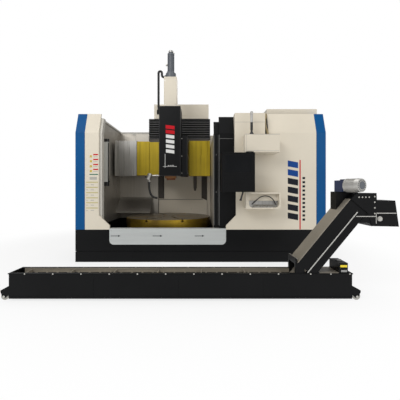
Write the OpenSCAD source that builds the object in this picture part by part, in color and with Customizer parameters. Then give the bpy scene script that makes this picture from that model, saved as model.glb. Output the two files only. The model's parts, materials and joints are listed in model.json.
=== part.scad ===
// Single-column vertical turning lathe with its chip conveyor standing in front.
// Origin: on the floor, under the axis of the round table. +X right, +Y into the machine, +Z up.

/* [Enclosure] */
// Overall width of the enclosure
encl_w = 3440; // [3300:10:3600]
// Room between the table's edge and the left outer face
side_room = 481; // [460:1:520]
// Distance from the table axis to the front face
front_dist = 1000; // [970:10:1060]
// Height of the black base
base_h = 445; // [430:5:455]
// Height where the front panels start to lean back
kink_z = 1776; // [1700:1:1850]
// Height of the front and side panels
panel_top_z = 2058; // [2000:1:2120]
// How far the panels lean back at the top
lean = 100; // [60:1:120]
// Thickness of a boxed sheet panel
panel_t = 30; // [20:1:30]
// Width of the blue corner trims
trim_w = 130; // [100:1:150]
// Width of the left front panel
left_panel_w = 192; // [160:1:220]
// Left edge of the right front panel
right_panel_x = 1025; // [1010:1:1060]

/* [Table] */
// Diameter of the round table
table_d = 1400; // [1300:10:1410]
// Height of the table's top face
table_top_z = 545; // [540:1:560]
// Thickness of the table
table_t = 145; // [120:1:150]
// Number of radial clamping slots
slot_n = 8; // [4:1:12]
// Width of a clamping slot
slot_w = 28; // [20:1:32]
// Diameter of the cap over the table's centre
centre_cap_d = 200; // [160:1:240]

/* [Column and crossrail] */
// Width of the column
column_w = 1016; // [980:2:1050]
// Middle of the column, right of the table axis
column_x = 166; // [150:1:180]
// Gap between the table's edge and the column's front face
column_gap = 120; // [110:1:160]
// Depth of the column
column_depth = 680; // [600:10:760]
// Height of the column's top face
column_top_z = 2371; // [2330:1:2420]
// Room between the crossrail's left end and the inner wall
rail_room = 52; // [45:1:70]
// Lower edge of the crossrail covers
rail_bot_z = 1239; // [1230:1:1260]
// Height of the crossrail covers
rail_h = 624; // [600:1:640]
// Upward travel of the crossrail
rail_travel = 200; // [150:10:220]

/* [Head and ram] */
// Middle of the ram, right of the table axis
ram_x = 33; // [25:1:40]
// Width of the ram
ram_w = 180; // [150:1:200]
// Width of the head cover
head_w = 352; // [340:1:360]
// Lower edge of the head cover
head_bot_z = 1219; // [1215:1:1225]
// Height of the head cover
head_h = 1148; // [1100:1:1200]
// Distance from the table axis to the head cover's front face
head_front = 200; // [180:1:220]
// Width of the box on the head's right side
side_box_w = 115; // [100:1:118]
// Travel of the head along the crossrail
head_travel = 440; // [400:10:440]
// Downward travel of the ram
ram_travel = 600; // [500:10:600]

/* [Doors] */
// How far the parked following leaf stands back from the leading one
leaf_step = 72; // [60:1:86]
// Room between the parked following leaf and the right corner trim
park_gap = 315; // [295:5:335]
// Thickness of a sliding leaf
leaf_t = 22; // [18:1:22]

/* [Conveyor] */
// Distance from the table axis to the conveyor's front side
conv_front = 2440; // [2400:10:2600]
// Width of the conveyor trough
conv_w = 220; // [200:5:240]
// Left end of the trough, left of the table axis
conv_left = 1175; // [1150:5:1250]
// Right end of the trough, right of the table axis
conv_right = 1893; // [1880:1:1950]
// Height of the trough's underside over the floor
conv_clear = 17; // [15:1:22]
// Height of the trough's top edge
conv_top = 245; // [240:1:260]
// Wall thickness of the conveyor casing
conv_t = 6; // [4:1:8]

/* [Hidden] */
$fn = 48;

// Gap of a sliding or turning seat, and the gap between pieces that only pass each other
seat = 0.3;
pass = 6;

// Enclosure edges
x_left = -table_d / 2 - side_room;
x_right = x_left + encl_w;
y_front = -front_dist;
y_back = table_d / 2 + column_gap - 20;
left_edge = x_left + trim_w + left_panel_w;
right_edge = x_right - trim_w;
flare_w = 147;
flare_bot_z = 501;
flare_top_z = 641;
jamb_w = 35;
wall_t = 10;
inner_left_x = -table_d / 2 - 340;
inner_right_x = table_d / 2 + 19;
inner_top_z = 2130;
back_top_z = 2125;
right_wall_top_z = kink_z;
right_wall_set = 175;

// Table and its pit
table_r = table_d / 2;
pit_z = 250;
pit_gap = 18;
bed_r = 560;

// Column and covers
col_x0 = column_x - column_w / 2;
col_x1 = column_x + column_w / 2;
col_y0 = table_r + column_gap;
col_y1 = col_y0 + column_depth;
way_d = 40;
way_w = 100;
way_in = 52;
bellows_side = 120;
bellows_x0 = col_x0 - bellows_side;
bellows_x1 = col_x1 + 49;
bellows_d = 60;
carriage_top_z = 1969;
fixed_cover_top_z = 823;
cover_lap = 43;
rail_top_z = rail_bot_z + rail_h;
rail_left = -inner_left_x - rail_room;
rail_right = inner_right_x - 2 * pass;
cover_t = 4;
cover_step = cover_t + pass;
rail_front_y = 216;
rail_body_y0 = 340;
rail_body_y1 = col_y0 - way_d - 25;
rail_body_z0 = rail_bot_z + 3 * cover_step + 1;
rail_body_z1 = rail_top_z - 3 * cover_step - 3;

// Head and ram
head_x0 = ram_x - head_w / 2;
head_x1 = ram_x + head_w / 2;
head_back_y = 215;
head_top_z = head_bot_z + head_h;
head_t = 8;
side_x1 = head_x1 + side_box_w;
plate_t = 7;
grey_x1 = head_x0 - head_travel - 12;
tool_z = 1161;
tool_h = 24;
ram_len = ram_travel + 492;

// Doors
lead_x = inner_right_x + 3;
follow_x = lead_x + leaf_step;
leaf_w = right_edge - follow_x - park_gap;
lead_top_z = kink_z + 178;
follow_top_z = kink_z + 247;
lead_y = y_front + 70;
follow_y = y_front + 38;
track_h = 15;

// Console, its arm and the box that the arm hangs from
box_x0 = right_panel_x - 25;
box_w = 410;
box_d = 70;
box_top_z = kink_z + 254;
arm_x0 = right_panel_x + 84;
arm_x1 = right_panel_x + 533;
arm_z0 = kink_z - 299;
arm_z1 = kink_z - 68;
arm_d = 270;
console_x0 = right_panel_x - 225;
console_x1 = right_panel_x + 194;
console_z0 = arm_z0 - 513;
console_z1 = arm_z0 - 19;

// Conveyor
conv_y0 = -conv_front;
conv_y1 = conv_y0 + conv_w;
incl_a = 50.5;
incl_x = 1408;
incl_z = 337;
incl_len = 739;
incl_thick = 192;
incl_ux = cos(incl_a);
incl_uz = sin(incl_a);
incl_end_x = incl_x + incl_ux * incl_len;
incl_end_z = incl_z + incl_uz * incl_len;
lip = 25;
flange_x0 = 1385;
flange_x1 = 1400;
belt_z0 = 150;
belt_z1 = 200;
pump_x0 = 1779;
pump_x1 = 1860;
hood_x0 = incl_end_x + 54;
hood_x1 = incl_end_x + 229;
hood_x2 = incl_end_x + 395;
hood_x3 = incl_end_x + 428;
hood_low_z = 662;
hood_mid_z = 895;
hood_top_z = 962;
gear_x = 1868;
gear_y = conv_y0 + 110;
gear_turn = 25;
cover_plate_t = 5;
castor_out = 48;

// Routes of the motor conduit and of the coolant nozzle
gland_z = 2915;
gland_x = -72;
conduit_x = -178;
gland_box_z = 2350;
conduit_route = [[gland_x, 0, gland_z], [gland_x - 12, 0, gland_z], [gland_x - 24, 0, gland_z],
  [-118, 0, 2950], [-124, 0, 3000], [-142, 0, 3030], [-160, 0, 3004], [-170, 0, 2930], [-175, 0, 2800],
  [conduit_x, 0, 2600], [conduit_x, 0, 2480], [conduit_x, 0, gland_box_z]];
valve_x = -312;
valve_y = -150;
spout_z = 1120;
spout_low_z = 972;
nozzle_route = [[valve_x, valve_y, spout_z], [valve_x, valve_y, spout_z - 40],
  [valve_x, valve_y, spout_z - 80],
  [-304, valve_y, 975], [-282, valve_y, 912], [-240, valve_y, 872], [-176, valve_y, 858]];

// A closed sheet that follows the front: upright up to the kink, then leaning back
module front_profile(z0, z1, t) {
  top_y = lean * (z1 - kink_z) / (panel_top_z - kink_z);
  polygon([[0, z0], [t, z0], [t, kink_z], [t + top_y, z1], [top_y, z1], [0, kink_z]]);
}

// The front sheet between two X values, its outer face at y
module front_sheet(x0, x1, y, z0, z1, t) {
  translate([x0, y, 0]) rotate([90, 0, 90]) linear_extrude(x1 - x0) front_profile(z0, z1, t);
}

// A box given by two corners
module block(a, b) {
  translate(a) cube([b[0] - a[0], b[1] - a[1], b[2] - a[2]]);
}

// An outline drawn in X and Z, made solid from y0 to y1
module xz_solid(y0, y1) {
  translate([0, y1, 0]) rotate([90, 0, 0]) linear_extrude(y1 - y0) children();
}

module base() {
  seam_z = 144;
  seam = 8;
  color([0.1, 0.1, 0.11]) difference() {
    union() {
      block([x_left, y_front, 0], [x_right, y_back, base_h]);
      block([col_x0 - 40, y_back, 0], [col_x1 + 40, col_y1, base_h]);
    }
    block([inner_left_x + 20, y_front + 60, pit_z], [table_r + pit_gap, table_r + 20, base_h + 1]);
    block([x_left - 1, y_front - 1, seam_z], [x_right + 1, y_front + seam, seam_z + seam]);
    block([x_left - 1, y_front - 1, seam_z], [x_left + seam, y_back + 1, seam_z + seam]);
    block([x_right - seam, y_front - 1, seam_z], [x_right + 1, y_back + 1, seam_z + seam]);
  }
}

module sill_plate() {
  r = 60;
  z0 = 240;
  t = 6;
  lip = 30;
  x0 = left_edge + flare_w;
  x1 = right_panel_x - 137;
  color([0.8, 0.81, 0.8]) union() {
    xz_solid(y_front - t, y_front) union() {
      translate([x0 + r, z0 + r]) circle(r);
      translate([x1 - r, z0 + r]) circle(r);
      translate([x0 + r, z0]) square([x1 - x0 - 2 * r, r]);
      translate([x0, z0 + r]) square([x1 - x0, base_h + track_h - z0 - r]);
    }
    block([x0, y_front, base_h], [x1, y_front + lip, base_h + track_h]);
  }
}

module door_track() {
  groove = 6;
  color([0.35, 0.36, 0.37]) difference() {
    block([left_edge + 10, follow_y - 8, base_h], [right_edge - 60, lead_y + leaf_t + 8, base_h + track_h]);
    block([left_edge, follow_y + leaf_t + 2, base_h + groove],
      [right_edge, lead_y - 2, base_h + track_h + 1]);
  }
}

module table_bed() {
  rim = 40;
  color([0.2, 0.2, 0.21]) translate([0, 0, pit_z]) rotate_extrude() {
    polygon([[0, 0], [bed_r + rim, 0], [bed_r + rim, rim], [bed_r, rim + 20],
      [bed_r, table_top_z - table_t - pit_z - seat], [0, table_top_z - table_t - pit_z - seat]]);
  }
}

module left_front_panel() {
  color([0.87, 0.84, 0.77]) intersection() {
    front_sheet(x_left + trim_w, left_edge + flare_w, y_front, base_h, panel_top_z, panel_t);
    xz_solid(y_front - 10, y_front + lean + 2 * panel_t) polygon([
      [x_left + trim_w, base_h], [left_edge + flare_w, base_h], [left_edge + flare_w, flare_bot_z],
      [left_edge, flare_top_z], [left_edge, panel_top_z], [x_left + trim_w, panel_top_z]]);
  }
}

module left_corner_trim() {
  color([0.06, 0.31, 0.59])
    front_sheet(x_left, x_left + trim_w, y_front, base_h, panel_top_z, trim_w);
}

// A side panel: its front edge follows the corner trim
module side_sheet(x0) {
  translate([x0, 0, 0]) rotate([90, 0, 90]) linear_extrude(panel_t) polygon([
    [y_front + trim_w, base_h], [y_back, base_h], [y_back, panel_top_z],
    [y_front + trim_w + lean, panel_top_z], [y_front + trim_w, kink_z]]);
}

module left_side_panel() {
  color([0.87, 0.84, 0.77]) side_sheet(x_left);
}

module left_jamb() {
  color([0.62, 0.62, 0.6])
    front_sheet(left_edge - 16, left_edge + jamb_w, y_front + panel_t, base_h + track_h,
      panel_top_z - 60, 84);
}

module left_inner_wall() {
  color([0.72, 0.71, 0.68])
    block([inner_left_x - wall_t, y_front + panel_t + 100, base_h],
      [inner_left_x, y_back - wall_t, inner_top_z]);
}

module back_wall() {
  color([0.6, 0.59, 0.56])
    block([x_left + panel_t, y_back - wall_t, base_h], [col_x0 + way_in - pass, y_back, back_top_z]);
}

module splash_skirt() {
  y0 = y_back - 325;
  z0 = table_top_z + 15;
  z1 = table_top_z + 297;
  t = 8;
  color([0.66, 0.65, 0.62])
    translate([inner_left_x, 0, 0]) rotate([90, 0, 90]) linear_extrude(col_x0 - 60 - inner_left_x)
      polygon([[y0, z0], [y0, z0 + t], [y_back - wall_t, z1 + t], [y_back - wall_t, z1]]);
}

module right_inner_wall() {
  color([0.72, 0.71, 0.68])
    block([inner_right_x, lead_y + leaf_t + 9, base_h],
      [inner_right_x + wall_t, y_back - right_wall_set, right_wall_top_z]);
}

module right_front_panel() {
  color([0.87, 0.84, 0.77]) intersection() {
    front_sheet(right_panel_x - 137, right_edge, y_front, base_h, panel_top_z, panel_t);
    xz_solid(y_front - 10, y_front + lean + 2 * panel_t) polygon([
      [right_edge, base_h], [right_panel_x - 137, base_h], [right_panel_x - 137, flare_bot_z],
      [right_panel_x, flare_top_z], [right_panel_x, panel_top_z], [right_edge, panel_top_z]]);
  }
}

module right_corner_trim() {
  color([0.06, 0.31, 0.59])
    front_sheet(x_right - trim_w, x_right, y_front, base_h, panel_top_z, trim_w);
}

module right_side_panel() {
  color([0.87, 0.84, 0.77]) side_sheet(x_right - panel_t);
}

module right_rear_panel() {
  color([0.87, 0.84, 0.77])
    block([col_x1 - pass, y_back - panel_t, base_h], [x_right - panel_t, y_back, panel_top_z]);
}

module electrical_cabinet() {
  cab_x = x_right - 759;
  cab_z = panel_top_z + 107;
  cab_set = 240;
  color([0.85, 0.82, 0.75])
    block([cab_x, y_front + cab_set, base_h], [x_right - panel_t, y_back - panel_t - 200, cab_z]);
}

module column() {
  color([0.42, 0.4, 0.38]) union() {
    block([col_x0, col_y0, base_h], [col_x1, col_y1, column_top_z]);
    block([col_x0 + way_in, col_y0 - way_d, base_h], [col_x0 + way_in + way_w, col_y0, column_top_z]);
    block([col_x1 - way_in - way_w, col_y0 - way_d, base_h], [col_x1 - way_in, col_y0, column_top_z]);
  }
}

module column_top_cover() {
  h = 274;
  color([0.87, 0.84, 0.77])
    block([col_x0 - 18, rail_body_y1 - bellows_d - 5, column_top_z],
      [col_x1 + 20, col_y1 - 60, column_top_z + h]);
}

module column_bellows() {
  n = 9;
  pitch = (column_top_z - carriage_top_z) / n;
  fold = 14;
  y0 = rail_body_y1 - bellows_d;
  color([0.09, 0.09, 0.1]) translate([bellows_x0, 0, carriage_top_z]) rotate([90, 0, 90])
    linear_extrude(bellows_x1 - bellows_x0) polygon(concat(
      [[rail_body_y1, (column_top_z - carriage_top_z)], [rail_body_y1, 0]],
      [for (i = [0:n - 1], s = [0, 1]) [y0 + (s == 0 ? fold : 0), (i + s / 2) * pitch]],
      [[y0 + fold, n * pitch]]));
}

module lower_cover_fixed() {
  top_z = fixed_cover_top_z;
  corner = 80;
  lip_h = 14;
  lip_d = 8;
  x0 = col_x0 + 71;
  x1 = col_x1 - 10;
  y0 = table_r + 25;
  t = 4;
  color([0.83, 0.8, 0.72]) union() {
    xz_solid(y0, y0 + t) polygon([[x0, base_h], [x1, base_h], [x1, top_z - corner / 2],
      [x1 - corner, top_z], [x0, top_z]]);
    block([x0, y0 + t, base_h], [x0 + t, col_y0 - way_d, top_z]);
    block([x1 - t, y0 + t, base_h], [x1, col_y0 - way_d, top_z - corner]);
    block([x0, y0 - lip_d, top_z - lip_h], [x1 - corner, y0 + t, top_z]);
  }
}

module work_lamp() {
  r = 30;
  x = inner_left_x + 40;
  y = -187;
  z0 = 1055;
  z1 = 1827;
  cap_h = 60;
  color([0.1, 0.1, 0.1]) union() {
    translate([x, y, z0]) cylinder(h = cap_h, r = r + 5);
    translate([x, y, z1 - cap_h]) cylinder(h = cap_h, r = r + 5);
    translate([x, y, z0 + cap_h]) cylinder(h = z1 - z0 - 2 * cap_h, r = r);
    block([inner_left_x, y - r, z0], [x, y + r, z1]);
  }
}

module console_cabinet() {
  color([0.87, 0.84, 0.77]) difference() {
    block([box_x0, y_front - box_d, arm_z0 + 23], [box_x0 + box_w, y_front + lean + 20, box_top_z]);
    front_sheet(box_x0 - 10, box_x0 + box_w + 10, y_front, base_h, panel_top_z, 300);
  }
}

module console_arm() {
  color([0.87, 0.84, 0.77]) block([arm_x0, y_front - arm_d, arm_z0], [arm_x1, y_front - box_d, arm_z1]);
  color([0.87, 0.84, 0.77]) block([box_x0 + box_w + 10, y_front - box_d, arm_z0], [arm_x1, y_front, arm_z1]);
}

module console() {
  color([0.12, 0.12, 0.13]) block([console_x0, y_front - 370, console_z0],
    [console_x1, y_front - 250, console_z1]);
  color([0.12, 0.12, 0.13]) block([console_x1 - 99, y_front - 330, console_z1],
    [console_x1 - 9, y_front - 250, arm_z0]);
}

module pendant_pocket() {
  x0 = right_panel_x + 104;
  x1 = right_panel_x + 559;
  z0 = base_h + 297;
  z1 = base_h + 512;
  d = 220;
  wall = 18;
  r = 50;
  color([0.87, 0.84, 0.77]) difference() {
    block([x0, y_front - d, z0], [x1, y_front, z1]);
    xz_solid(y_front - d - 1, y_front - d + 60) translate([x0 + 40 + r, z0 + wall + r]) union() {
      circle(r);
      translate([x1 - x0 - 60 - 2 * r, 0]) circle(r);
      translate([0, -r]) square([x1 - x0 - 60 - 2 * r, z1 - z0 - 2 * wall - r]);
      translate([-r, 0]) square([x1 - x0 - 60, z1 - z0 - 2 * wall - r]);
    }
  }
}

module signal_lamp() {
  x = right_panel_x + 181;
  y = y_front - 200;
  z = arm_z1;
  color([0.5, 0.5, 0.5]) translate([x, y, z]) rotate_extrude() polygon([[0, 0], [32, 0], [32, 8], [14, 42],
    [14, 62], [17, 64], [17, 266], [20, 268], [20, 298], [15, 306], [0, 306]]);
}

// Side outline of the conveyor's rising part
module incline_outline(inset) {
  a = [incl_x + inset * incl_uz, incl_z - inset * incl_ux];
  b = a + incl_len * [incl_ux, incl_uz];
  th = (incl_thick - 2 * inset) * [incl_uz, -incl_ux];
  polygon([a, b, b + th, a + th]);
}

module conveyor_trough() {
  rim = 6;
  rim_h = 8;
  shelf = 20;
  color([0.12, 0.12, 0.12]) union() {
    difference() {
      union() {
        block([-conv_left, conv_y0, conv_clear], [conv_right, conv_y1, conv_top]);
        block([-conv_left - rim, conv_y0 - rim, conv_top - rim_h],
          [conv_right + rim, conv_y1 + rim, conv_top]);
      }
      block([-conv_left + conv_t, conv_y0 + lip, conv_clear + conv_t],
        [conv_right - conv_t, conv_y1 - lip, conv_top + 1]);
    }
    for (y = [conv_y0 + lip, conv_y1 - lip - shelf])
      block([-conv_left + conv_t, y, belt_z0 - 12], [flange_x0, y + shelf, belt_z0]);
  }
}

module conveyor_incline() {
  wall = 12;
  color([0.12, 0.12, 0.12]) difference() {
    union() {
      xz_solid(conv_y0, conv_y1) incline_outline(0);
      block([flange_x0, conv_y0 - 4, conv_top], [flange_x1, conv_y1 + 4, 377]);
      block([flange_x1, conv_y0, conv_top], [incl_x + 60, conv_y1, incl_z]);
    }
    xz_solid(conv_y0 + wall, conv_y1 - wall) incline_outline(wall);
    block([flange_x0 - 1, conv_y0 + lip, conv_top - 1], [incl_x + 62, conv_y1 - lip, incl_z - 12]);
    block([flange_x0 - 10, conv_y0 - 10, 0], [1700, conv_y1 + 10, conv_top]);
  }
}

module incline_cover() {
  t = cover_plate_t * [-incl_uz, incl_ux];
  a = [incl_x, incl_z];
  b = [incl_end_x, incl_end_z];
  color([0.45, 0.45, 0.45]) xz_solid(conv_y0 - 3, conv_y1 + 3) polygon([a, b, b + t, a + t]);
}

// A chequered plate over the trough between the rising part and the pump
module trough_cover() {
  color([0.2, 0.2, 0.2]) block([1604, conv_y0 + 4, conv_top], [pump_x0 - 4, conv_y1 - 4, conv_top + 5]);
}

module discharge_hood() {
  wall = 8;
  mouth_x = hood_x1 + 3;
  outer = [[incl_end_x, incl_end_z], [hood_x0, hood_top_z], [hood_x1, hood_top_z], [hood_x1 + 2, hood_mid_z],
    [hood_x2, hood_mid_z], [hood_x3, hood_low_z], [hood_x1 - 39, hood_low_z + 5],
      [incl_end_x + incl_uz * incl_thick, incl_end_z - incl_ux * incl_thick]];
  color([0.13, 0.13, 0.13]) difference() {
    xz_solid(conv_y0 - 8, conv_y1 + 8) polygon(outer);
    xz_solid(conv_y0 + wall, conv_y1 - wall) polygon([[mouth_x, hood_low_z - 2],
      [hood_x3 - 16, hood_low_z - 7], [hood_x2 - 13, hood_mid_z - 15], [mouth_x, hood_mid_z - 15]]);
  }
}

// The hinged plate belt: level in the trough, then up the rising part on its middle line
module conveyor_belt() {
  mid_z = (belt_z0 + belt_z1) / 2;
  half = (belt_z1 - belt_z0) / 2;
  mid = [incl_x + incl_thick / 2 * incl_uz, incl_z - incl_thick / 2 * incl_ux];
  bend_x = mid[0] - (mid[1] - mid_z) * incl_ux / incl_uz;
  mitre = half * tan(incl_a / 2);
  far = mid + (incl_len - 25) * [incl_ux, incl_uz];
  side = half * [-incl_uz, incl_ux];
  x0 = -conv_left + 30;
  y0 = conv_y0 + lip + 7;
  y1 = conv_y1 - lip - 7;
  pitch = 101;
  knuckle_r = 9;
  color([0.5, 0.47, 0.42]) union() {
    xz_solid(y0, y1) polygon([[x0, belt_z0], [bend_x + mitre, mid_z - half], far - side, far + side,
      [bend_x - mitre, mid_z + half], [x0, belt_z1]]);
    for (x = [x0 + 20:pitch:flange_x0 - 30]) translate([x, y0, belt_z1]) rotate([-90, 0, 0])
      cylinder(h = y1 - y0, r = knuckle_r, $fn = 12);
    for (x = [x0 + 70:pitch * 4:flange_x0 - 60]) block([x, y0, belt_z1 - 2], [x + 8, y1, belt_z1 + 28]);
  }
}

// A stand for the gear motor, on the cover of the rising part and on the hood
module gear_bracket() {
  t = 12;
  x0 = pump_x0 + 11;
  rest_gap = 0.02;
  lift = (cover_plate_t + rest_gap) * [-incl_uz, incl_ux];
  foot = [incl_end_x, incl_end_z] + lift;
  slope = incl_uz / incl_ux;
  color([0.12, 0.12, 0.13]) xz_solid(gear_y - 20, conv_y1 - 10) polygon([
    [x0, foot[1] - (foot[0] - x0) * slope], foot, [hood_x0, hood_top_z],
    [hood_x0 + 58, hood_top_z], [hood_x0 + 58, hood_top_z + t], [x0, hood_top_z + t]]);
}

module gear_reducer() {
  color([0.1, 0.16, 0.3]) translate([gear_x, gear_y, hood_top_z + 12]) rotate([0, 0, gear_turn]) union() {
    block([-50, -40, 0], [50, 60, 104]);
    block([-58, -30, 0], [58, 50, 14]);
    translate([0, 0, 104]) cylinder(h = 10, r = 30);
  }
}

module gear_motor() {
  r = 57;
  fin_n = 20;
  cowl_r = 63;
  color([0.7, 0.7, 0.72]) translate([gear_x, gear_y, 1030]) rotate([0, 0, gear_turn])
    translate([0, -40, 0]) rotate([90, 0, 0]) union() {
      cylinder(h = 12, r = cowl_r);
      cylinder(h = 118, r = r);
      for (i = [0:fin_n - 1]) rotate([0, 0, (i + 0.5) * 360 / fin_n]) translate([r - 3, -2, 4]) cube([8,
        4, 108]);
      translate([0, 0, 108]) cylinder(h = 40, r1 = cowl_r, r2 = cowl_r - 4);
      translate([0, 0, 148]) cylinder(h = 4, r = 40);
    }
}

module coolant_pump() {
  color([0.1, 0.1, 0.1]) union() {
    block([pump_x0, conv_y0 + 10, conv_top], [pump_x1, conv_y1 - 10, 334]);
    block([pump_x0 - 3, conv_y0 + 4, conv_top], [pump_x1 + 3, conv_y1 - 4, conv_top + 6]);
  }
}

// Where the four castors stand: side of the trough, its end and the castor's Y
function castor_places() = [for (s = [-1, 1], y = [conv_y0 + 34, conv_y1 - 34])
  [s, s < 0 ? -conv_left : conv_right, y]];

module castor_forks() {
  color([0.13, 0.13, 0.13]) for (c = castor_places()) translate([c[1], c[2], 0]) scale([c[0], 1, 1]) union() {
    for (y = [-24, 20])
      xz_solid(y, y + 4) polygon([[0, 132], [0, 60], [castor_out - 12, 22], [castor_out + 12, 22],
        [castor_out + 34, 74], [castor_out + 34, 88]]);
    xz_solid(-24, 24) polygon([[0, 132], [0, 124], [castor_out + 34, 80], [castor_out + 34, 88]]);
    translate([castor_out, 28, 34]) rotate([90, 0, 0]) cylinder(h = 56, r = 6, $fn = 16);
  }
}

module castor_wheels() {
  wheel_r = 34;
  color([0.7, 0.7, 0.68]) for (c = castor_places())
    translate([c[1] + c[0] * castor_out, c[2] + 15, wheel_r]) rotate([90, 0, 0]) difference() {
      cylinder(h = 30, r = wheel_r, $fn = 32);
      translate([0, 0, -1]) cylinder(h = 32, r = 6.2, $fn = 16);
    }
}

module crossrail() {
  shoe_w = way_w + 20;
  color([0.35, 0.35, 0.36]) union() {
    block([-rail_left + cover_t, rail_body_y0, rail_body_z0],
      [rail_right - cover_t, rail_body_y1, rail_body_z1]);
    for (z = [rail_body_z0 + 60, rail_body_z1 - 120])
      block([-rail_left + 60, rail_body_y0 - way_d, z], [rail_right - 60, rail_body_y0, z + 60]);
    block([bellows_x0 + 10, rail_body_y1 - 100, rail_body_z1],
      [rail_right - cover_t - 1, rail_body_y1, carriage_top_z]);
    for (x = [col_x0 + way_in - 10, col_x1 - way_in - way_w - 10])
      block([x, rail_body_y1, rail_body_z0 + 30], [x + shoe_w, col_y0 - way_d - seat, carriage_top_z - 10]);
  }
}

// A C-shaped cover plate: n counts how many plates lie in front of it
module cover_plate(x0, x1, n, depth) {
  y = rail_front_y + n * (cover_t + pass);
  z0 = rail_bot_z + n * cover_step;
  z1 = rail_top_z - n * cover_step;
  block([x0, y, z0], [x1, y + cover_t, z1]);
  block([x0, y, z1 - cover_t], [x1, depth, z1]);
  block([x0, y, z0], [x1, depth, z0 + cover_t]);
}

module rail_end_cover() {
  color([0.6, 0.6, 0.6]) union() {
    cover_plate(-rail_left, grey_x1, 0, rail_body_y0 + 24);
    block([-rail_left, rail_front_y, rail_bot_z], [-rail_left + cover_t, rail_body_y1, rail_top_z]);
  }
}

module rail_right_cover() {
  color([0.72, 0.62, 0.1]) union() {
    cover_plate(side_x1 + 11, rail_right, 0, rail_body_y0 + 24);
    block([rail_right - cover_t, rail_front_y, rail_bot_z], [rail_right, rail_body_y1, rail_top_z]);
  }
}

module middle_cover_plates() {
  lap = 17;
  shoe = 60;
  right_x = side_x1 + 26;
  w_right = rail_right - right_x - 117;
  places = [[grey_x1 - lap, 240], [right_x, w_right]];
  color([0.72, 0.62, 0.1]) for (p = places) let (x = p[0], w = p[1]) union() {
    cover_plate(x, x + w, 1, rail_body_y0 + 12);
    block([x + w / 2, rail_body_y0 + 2, rail_body_z1 + seat],
      [x + w / 2 + shoe, rail_body_y0 + 12, rail_top_z - cover_step - cover_t]);
  }
}

module saddle_cover_plates() {
  w_left = 240;
  w_right = rail_right - side_x1 - 113;
  y0 = rail_front_y + 2 * cover_step;
  color([0.72, 0.62, 0.1]) {
    union() {
      cover_plate(head_x0 - w_left, head_x0, 2, rail_body_y0 - 50);
      block([head_x0, head_back_y + plate_t, rail_bot_z + 60], [head_x0 + 6, y0 + cover_t, rail_top_z - 60]);
      block([head_x0 - 6, y0, rail_bot_z + 60], [head_x0 + 6, y0 + cover_t, rail_top_z - 60]);
    }
    union() {
      cover_plate(side_x1, side_x1 + w_right, 2, rail_body_y0 - 50);
      block([side_x1 - 6, head_back_y + plate_t, rail_bot_z + 60], [side_x1, y0 + cover_t, rail_top_z - 60]);
      block([side_x1 - 6, y0, rail_bot_z + 60], [side_x1 + 6, y0 + cover_t, rail_top_z - 60]);
    }
  }
}

module lower_cover_moving() {
  color([0.85, 0.82, 0.74])
    block([col_x0 + 169, table_r + 45, fixed_cover_top_z - rail_travel - cover_lap],
      [col_x1 - 117, table_r + 49, rail_body_z0]);
}

module drain_spout() {
  color([0.14, 0.13, 0.12]) translate([rail_right - 270, rail_body_y0 + 60, spout_low_z]) union() {
    cylinder(h = 60, r1 = 14, r2 = 30);
    translate([0, 0, 60]) cylinder(h = rail_body_z0 - spout_low_z - 60, r = 30);
  }
}

module saddle() {
  z0 = head_bot_z + 20;
  z1 = rail_top_z;
  jaw = (head_w - 2 * head_t - ram_w) / 2;
  color([0.3, 0.3, 0.31]) union() {
    block([head_x0, head_back_y, rail_bot_z + 6], [side_x1, head_back_y + plate_t, z1 - 6]);
    block([head_x0 + head_t, ram_w / 2 + 10, z0], [head_x1 - head_t, head_back_y, z1]);
    block([head_x0 + head_t, -20, z0], [head_x0 + head_t + jaw - pass, ram_w / 2 + 10, z1]);
    block([head_x1 - head_t - jaw + pass, -20, z0], [head_x1 - head_t, ram_w / 2 + 10, z1]);
    for (z = [rail_body_z0 + 30, rail_body_z1 - 150])
      block([head_x0 + 20, head_back_y + plate_t, z], [head_x1 - 20, rail_body_y0 - way_d - seat, z + 120]);
  }
}

module head_cover() {
  gland = 26;
  color([0.09, 0.09, 0.1]) union() {
    difference() {
      block([head_x0, -head_front, head_bot_z], [head_x1, head_back_y, head_top_z]);
      block([head_x0 + head_t, -head_front + head_t, head_bot_z - 1],
        [head_x1 - head_t, head_back_y + 1, head_top_z - head_t]);
    }
    block([conduit_x - gland, -gland, gland_box_z - 70], [head_x0 + head_t / 2, gland, gland_box_z]);
  }
}

module side_box() {
  color([0.09, 0.09, 0.1]) block([head_x1, -150, head_bot_z], [side_x1, head_back_y, 1891]);
}

module drive_column() {
  w = 214;
  color([0.87, 0.84, 0.77]) block([ram_x - w / 2, -w / 2, head_top_z], [ram_x + w / 2, w / 2, 2884]);
}

module z_motor() {
  z0 = 2884;
  r = 52;
  fin_n = 12;
  color([0.45, 0.46, 0.48]) union() {
    translate([ram_x, 0, z0]) union() {
      cylinder(h = 85, r = 86);
      block([-62, -62, 85], [62, 62, 105]);
      translate([0, 0, 105]) cylinder(h = 320, r = r);
      for (i = [0:fin_n - 1]) rotate([0, 0, (i + 0.5) * 360 / fin_n]) translate([r - 3, -3,
        115]) cube([9, 6, 270]);
      translate([0, 0, 395]) cylinder(h = 30, r = 58);
      translate([0, 0, 425]) cylinder(h = 50, r = 36);
    }
    block([gland_x, -26, gland_z - 26], [ram_x - 80, 26, gland_z + 26]);
  }
}

// Direction of a route at point i
function unit(v) = v / norm(v);
function tangent(p, i) = unit(p[min(i + 1, len(p) - 1)] - p[max(i - 1, 0)]);

// One point of a smooth curve through four neighbouring route points
function between(a, b, c, d, t) =
  0.5 * (2 * b + (c - a) * t + (2 * a - 5 * b + 4 * c - d) * t * t + (3 * b - a - 3 * c + d) * t * t * t);

// The route with extra points between its own
function smooth_route(p, n) = concat(
  [for (i = [0:len(p) - 2], k = [0:n - 1])
    between(p[max(i - 1, 0)], p[i], p[i + 1], p[min(i + 2, len(p) - 1)], k / n)],
  [p[len(p) - 1]]);

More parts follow.
